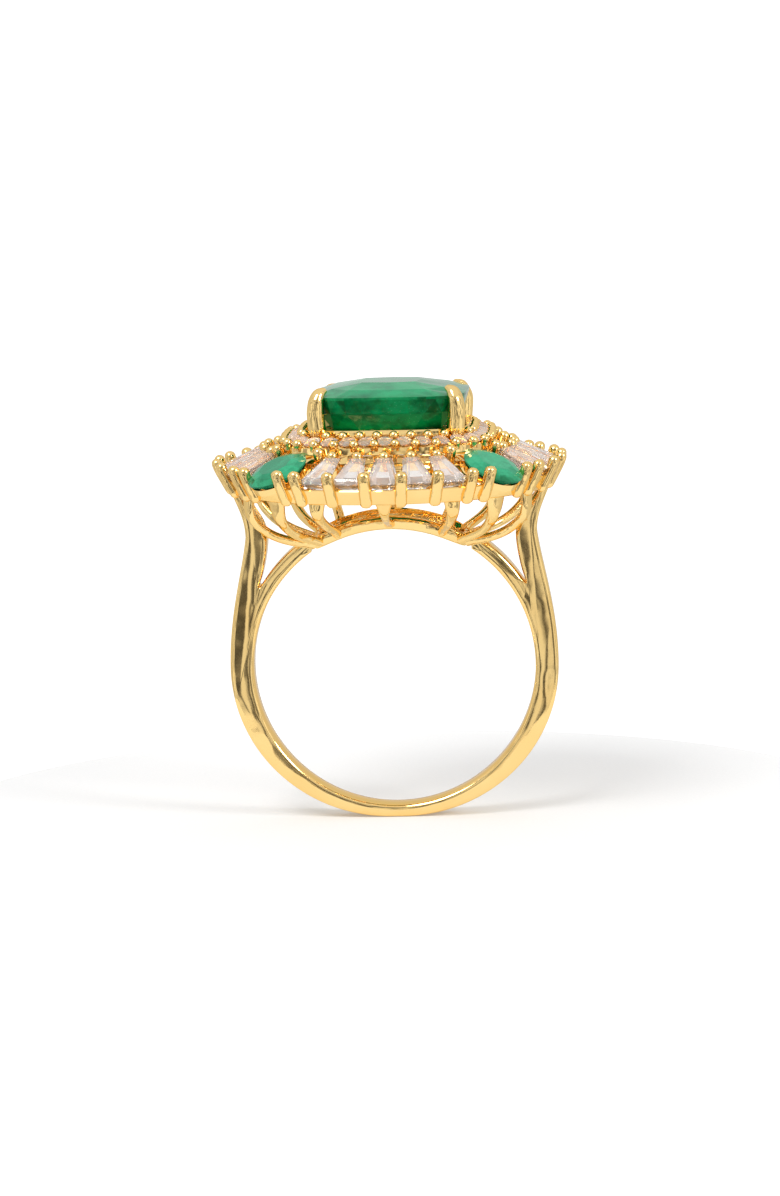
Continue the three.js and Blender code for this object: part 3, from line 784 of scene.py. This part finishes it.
def cloudy_emerald(name, deep, light, scale, painted_light_from, shine):
    """Emerald: uneven green with clouds, needles and specks, painted shade from facet to facet and painted
    light on its upper part, under a high polish.
    """
    gem = Finish(bpy.data.materials.new(name))
    place = gem.node("ShaderNodeTexCoord", out="Object")
    billows = {"Vector": place, "Scale": scale, "Detail": 5.0, "Roughness": 0.62}
    clouds = gem.node("ShaderNodeTexNoise", sockets=billows)
    drawn_out = {0: place, "Scale": (1.0, 1.0, 1.6), "Rotation": (0.3, 0.5, 0.2)}
    streaky = gem.node("ShaderNodeMapping", sockets=drawn_out)
    streaks = gem.node("ShaderNodeTexNoise", sockets={"Vector": streaky, "Scale": scale * 4, "Detail": 3.0})
    specks = gem.node("ShaderNodeTexVoronoi", sockets={"Vector": place, "Scale": scale * 14})
    # Painted shade: every facet faces its own way, and its green is made lighter or darker by that, as if
    # by the light it gathers.
    facing = gem.node("ShaderNodeNewGeometry", out="True Normal")
    painted_facet_shade = gem.node("ShaderNodeTexNoise", sockets={"Vector": facing, "Scale": 5.0, "Detail": 0.0})
    garden_and_painted_shade = gem.smooth(0.45 * clouds + 0.2 * streaks + 0.35 * painted_facet_shade, 0.38, 0.62)
    height = gem.node("ShaderNodeSeparateXYZ", sockets={0: place}, out=2)
    # Painted light: above a given height the green is mixed towards a paler colour, as if lit from above.
    painted_crown_light = 0.32 * gem.smooth(height, painted_light_from * MM, (painted_light_from + 0.35) * MM)
    green = gem.mix(painted_crown_light, gem.mix(garden_and_painted_shade, (*deep, 1), (*light, 1)), (0.03, 0.36, 0.2, 1))
    speck = 0.35 * (1 - gem.smooth(specks, 0.08, 0.22)) * gem.smooth(clouds, 0.45, 0.6)
    polish = {"Strength": 0.05, "Distance": 0.00002, "Height": streaks}
    surface = gem.node(
        "ShaderNodeBsdfPrincipled",
        sockets={
            "Base Color": gem.mix(speck, green, (0.10, 0.42, 0.24, 1)),
            "Roughness": 0.06 + 0.1 * streaks,
            "IOR": 1.58,
            "Specular IOR Level": shine,
            "Normal": gem.node("ShaderNodeBump", sockets=polish),
        },
    )
    gem.node("ShaderNodeOutputMaterial", sockets={0: surface})
    return gem.owner


small_emerald = cloudy_emerald(
    "small_emerald",
    deep=(0.006, 0.14, 0.055),
    light=(0.03, 0.34, 0.16),
    scale=900.0,
    painted_light_from=12.2,
    shine=0.22,
)


def cut_stone(form, rings):
    """Facets between rings of (angle, point), with a flat at each end: a fan of triangles wherever
    two rings have different numbers of points."""
    starts = []
    for ring in rings:
        starts.append(len(form.corners))
        form.corners += [tuple(map(float, point)) for _, point in ring]
    for low, high in zip(range(len(rings)), range(1, len(rings))):
        ring_a, ring_b = rings[low], rings[high]
        i = j = 0
        while i < len(ring_a) or j < len(ring_b):
            a, b = starts[low] + i % len(ring_a), starts[high] + j % len(ring_b)
            turn_a = ring_a[(i + 1) % len(ring_a)][0] + 2 * math.pi * ((i + 1) // len(ring_a))
            turn_b = ring_b[(j + 1) % len(ring_b)][0] + 2 * math.pi * ((j + 1) // len(ring_b))
            if j >= len(ring_b) or (i < len(ring_a) and turn_a <= turn_b):
                form.faces.append((a, starts[low] + (i + 1) % len(ring_a), b))
                i += 1
            else:
                form.faces.append((a, starts[high] + (j + 1) % len(ring_b), b))
                j += 1
    form.faces.append(tuple(reversed(range(starts[0], starts[0] + len(rings[0])))))
    form.faces.append(tuple(range(starts[-1], starts[-1] + len(rings[-1]))))


# Girdle outline shares, lifts and facet counts, from the culet up. The last ring is the table.
oval_levels = [
    (0.10, -1.15, 8, 0),
    (0.62, -0.68, 8, 1),
    (1.0, -0.05, 32, 0),
    (1.0, 0.05, 32, 0),
    (0.80, 0.27, 16, 1),
    (0.56, 0.42, 8, 0),
]


def facet_ring(share, lift, count, half_step, outline_at):
    """One ring of a faceted stone: (angle, point) pairs in order, from an outline by angle."""
    turns = 2 * math.pi * (np.arange(count) + 0.5 * half_step) / count
    return [(turn, (*(share * np.array(outline_at(turn))), lift)) for turn in turns]


def oval_outline(turn):
    return (oval_half_width * math.cos(turn), oval_half_length * math.sin(turn))


def laid_on_crown(point, azimuth):
    """A point of a stone cut flat, tilted with the crown's slope and set at its bearing."""
    x, y, z = point
    level, tilt = math.cos(oval_tilt), math.sin(oval_tilt)
    return turned((x, y * level - z * tilt - oval_radius, y * tilt + z * level + oval_height), azimuth)


collet_top = -0.28
collet_height = 0.42
for azimuth, corner in zip(oval_azimuths, ("front_right", "back_right", "back_left", "front_left")):
    gem = Form()
    rings = [facet_ring(*level, oval_outline) for level in oval_levels]
    cut_stone(gem, [[(turn, laid_on_crown(point, azimuth)) for turn, point in ring] for ring in rings])
    gem.piece(f"oval_gem_{corner}", small_emerald, [f"oval_emerald_{corner}"], 0)
    collet = Form()
    loops = []
    for turn in 2 * math.pi * np.arange(64) / 64:
        rim = np.array(oval_outline(turn))
        profile = [
            (0.93, collet_top),
            (0.90, collet_top - collet_height),
            (0.76, collet_top - collet_height),
            (0.80, collet_top - 0.1),
        ]
        loops.append([laid_on_crown((*(rim * share), lift), azimuth) for share, lift in profile])
    collet.loft(loops, closed=True)
    collet.piece(f"oval_collet_{corner}", cast_gold, [f"oval_seat_{corner}"], 35)

# ---- Halo ----
# Small round brilliants in a row round the centre stone, in a drilled gold plate with two rows of
# raised beads. A pierced wall of little arches stands between the plate and the crown's inner rail.

melee_count = 36
melee_arcs = 4
melee_radius = 0.52
melee_half_width = 5.75
melee_height = 14.32
# The warmer second colour is a painted reflection of the gold under the small stones.
melee_gem = clear_stone("melee_gem", (1.0, 0.94, 0.88, 1), (1.0, 0.74, 0.58, 1), 0.72)


def cushion_outline(turn):
    """A cushion's outline by angle, for a half-width of one."""
    across, along_y = math.cos(turn), math.sin(turn)
    reach = (across**4 + along_y**4) ** -0.25
    return (across * reach, along_y * reach)


def cushion_line(half_width, count, phase=0.0):
    """That many points evenly spaced along a cushion's outline."""
    fine = np.array([cushion_outline(turn) for turn in np.linspace(0, 2 * math.pi, 1441)]) * half_width
    walked = np.concatenate([[0], np.cumsum(np.linalg.norm(np.diff(fine, axis=0), axis=1))])
    stops = (np.arange(count) + phase) / count * walked[-1]
    return np.stack([np.interp(stops, walked, fine[:, k]) for k in range(2)], axis=1)


brilliant_levels = [
    (0.04, -0.34, 8, 0),
    (0.62, -0.16, 8, 1),
    (1.0, -0.03, 16, 0),
    (1.0, 0.02, 16, 0),
    (0.78, 0.10, 8, 1),
    (0.56, 0.15, 8, 0),
]
melee_centres = cushion_line(melee_half_width, melee_count)
halo_slope = 0.36


def on_halo(point, x, y):
    """A point of a small stone cut flat, tipped outward with the halo at that place."""
    outward = np.array((x, y, 0)) / math.hypot(x, y)
    return np.array((x, y, melee_height)) + point - (0, 0, halo_slope * np.dot(point, outward))


for arc_number in range(melee_arcs):
    form = Form()
    per_arc = melee_count // melee_arcs
    for x, y in melee_centres[arc_number * per_arc : (arc_number + 1) * per_arc]:
        rings = [
            facet_ring(*level, lambda turn: (melee_radius * math.cos(turn), melee_radius * math.sin(turn)))
            for level in brilliant_levels
        ]
        cut_stone(form, [[(turn, on_halo(point, x, y)) for turn, point in ring] for ring in rings])
    form.piece(f"brilliants_{arc_number + 1}", melee_gem, [f"melee_arc_{arc_number + 1}"], 0)


def cushion_band(profile, count=128):
    """Loops of a band whose profile of (half-width, height) points follows a cushion's outline."""
    return [
        [(*(np.array(cushion_outline(turn)) * half_width), height) for half_width, height in profile]
        for turn in 2 * math.pi * np.arange(count) / count
    ]


def ball_tip(centre, radius, bottom, sides=10):
    """Loops of a post with a ball on its end, as a raised bead is."""
    x, y, z = centre
    levels = [(0.72 * radius, bottom), (0.72 * radius, z - radius * 0.75)]
    ball = np.linspace(-0.7, 1.45, 6)
    levels += [(radius * math.cos(turn), z + radius * math.sin(turn)) for turn in ball]
    turns = 2 * math.pi * np.arange(sides) / sides
    return [[(x + r * math.cos(turn), y + r * math.sin(turn), h) for turn in turns] for r, h in levels]


plate_top = 14.2
plate_bottom = 13.72
plate_half = 0.5
claw_reach = 5.98
claw_clearance = 0.8
plate = Form()
lip = 0.05
# The plate reaches further in than out, under the rim of the centre stone's seat.
plate_ledge = 0.3
outer_line = melee_half_width + plate_half
inner_line = melee_half_width - plate_half - plate_ledge
plate.loft(
    cushion_band(
        [
            (inner_line, plate_bottom),
            (inner_line, plate_top - lip + plate_half * halo_slope),
            (inner_line + lip, plate_top + plate_half * halo_slope),
            (outer_line - lip, plate_top - plate_half * halo_slope),
            (outer_line, plate_top - lip - plate_half * halo_slope),
            (outer_line, plate_bottom - 0.12),
        ]
    ),
    closed=True,
)
melee_bead = 0.3
claw_spots = [around(azimuth, claw_reach, 0)[:2] for azimuth in oval_azimuths]
bead_rows = [(-melee_radius, melee_height + 0.28), (melee_radius, melee_height - 0.12)]
for offset, height in bead_rows:
    for x, y in cushion_line(melee_half_width + offset, melee_count, phase=0.5):
        if min(np.linalg.norm(spot - (x, y)) for spot in claw_spots) > claw_clearance:
            plate.loft(ball_tip((x, y, height), melee_bead, plate_bottom + 0.05))
plate.piece("halo_plate", cast_gold, ["melee_plate"], 35)

wall = Form()
wall_line = 5.9
wall_bottom = 12.84
wall_rims = [(wall_bottom, wall_bottom + 0.16, 0.16), (plate_bottom - 0.18, plate_bottom - 0.02, 0.18)]
for low, high, half in wall_rims:
    within, beyond = wall_line - half, wall_line + half
    wall.loft(cushion_band([(within, low), (within, high), (beyond, high), (beyond, low)]), closed=True)
# Each post is waisted, and spreads under the plate into half an arch on either side.
post_sizes = [
    (0.2, 0.15),
    (0.13, 0.13),
    (0.11, 0.12),
    (0.11, 0.12),
    (0.16, 0.13),
    (0.26, 0.15),
    (0.44, 0.16),
]
for x, y in cushion_line(wall_line, melee_count, phase=0.5):
    foot, head = np.array((x, y, wall_bottom + 0.05)), np.array((x, y, plate_bottom - 0.06))
    outward = np.array((x, y, 0)) / math.hypot(x, y)
    post = np.linspace(foot, head, 7)
    wall.loft(along(post, post_sizes, outward, sides=10, squareness=3))
wall.piece("halo_arcade", cast_gold, ["halo_wall"], 45)

# ---- Centre basket ----
# The cushion-shaped gold rim that the centre stone sits in, with four heavy claws whose tips are
# rounded and pushed in over its corners. It is soldered into the halo's plate.

# The stone is ground a little smaller than the room that the setting leaves it.
stone_share = 0.96
stone_half_width = stone_share * corner_of("centre_emerald")[0]
rim_top = 14.88
rim_height = 0.5
claw_foot = 13.9
setting_turn = -2.0
setting_shift = np.array((0.18, 0, 0))
basket = Form()
rim_in, rim_out = stone_half_width * 0.81, stone_half_width * 0.93 + 0.54
rim = (
    cushion_band(
        [
            (rim_in, rim_top - rim_height),
            (rim_in, rim_top - 0.06),
            (rim_in + 0.06, rim_top),
            (rim_out - 0.1, rim_top),
            (rim_out, rim_top - 0.1),
            (rim_out, rim_top - rim_height + 0.12),
            (rim_out - 0.12, rim_top - rim_height),
        ]
    )
)


def as_set(point):
    """The setting was soldered a little to the right, and turned by a hair."""
    return turned(point, setting_turn) + setting_shift


basket.loft([[as_set(point) for point in loop] for loop in rim], closed=True)


def claw(azimuth, top):
    """One claw: upright outside the stone's corner, then bent in over the crown of the stone."""
    course = [
        (claw_reach - 0.3, claw_foot),
        (claw_reach - 0.1, 14.9),
        (claw_reach + 0.02, 15.9),
        (claw_reach - 0.06, top - 0.65),
        (claw_reach - 0.3, top - 0.2),
        (claw_reach - 0.68, top),
    ]
    line = strand([around(azimuth, *point) for point in course], 5)
    widths = [(0.5, 0.5), (0.52, 0.5), (0.5, 0.48), (0.47, 0.42), (0.4, 0.32), (0.28, 0.18)]
    outward = around(azimuth + setting_turn, 1, 0)
    shares = np.linspace(0, len(widths) - 1, len(line))
    stations = range(len(widths))
    sizes = np.stack([np.interp(shares, stations, np.array(widths)[:, k]) for k in range(2)], axis=1)
    tip = line[-1] + (line[-1] - line[-2]) * 0.35
    line = np.array([as_set(point) for point in np.vstack([line, tip])])
    sizes = np.vstack([sizes, sizes[-1] * 0.5])
    return along(line, sizes, outward, sides=20, squareness=2.5)


# The two back claws were pushed further down than the front ones.
for azimuth, top in zip(oval_azimuths, (17.3, 16.98, 16.85, 17.26)):
    basket.loft(claw(azimuth, top))
basket.piece("stone_basket", cast_gold, ["centre_basket"], 40)

# ---- Centre emerald ----
# A cushion-cut emerald more than nine millimetres across, with a shallow crown, a small table and
# a full-bellied pavilion, held by the four claws. Its green is deep and mottled, partly by painted facet
# shade, and painted light makes it paler on top.

centre_gem = cloudy_emerald(
    "centre_emerald_stone",
    deep=(0.0, 0.07, 0.016),
    light=(0.001, 0.27, 0.085),
    scale=420.0,
    painted_light_from=16.7,
    shine=0.12,
)
girdle_height = 16.8
centre_levels = [
    (0.08, -3.75, 8, 0),
    (0.56, -2.95, 16, 1),
    (0.82, -2.0, 16, 0),
    (0.955, -0.95, 32, 1),
    (1.0, -0.12, 64, 0),
    (1.0, 0.04, 64, 0),
    (0.76, 0.40, 16, 1),
    (0.40, 0.70, 8, 0),
]
stone = Form()
size = np.array((stone_half_width, stone_half_width, 1))
lift = np.array((0, 0, girdle_height))
rings = [facet_ring(*level, cushion_outline) for level in centre_levels]
cut_stone(stone, [[(turn, as_set(point * size + lift)) for turn, point in ring] for ring in rings])
stone.piece("cushion_gem", centre_gem, ["centre_emerald"], 0)
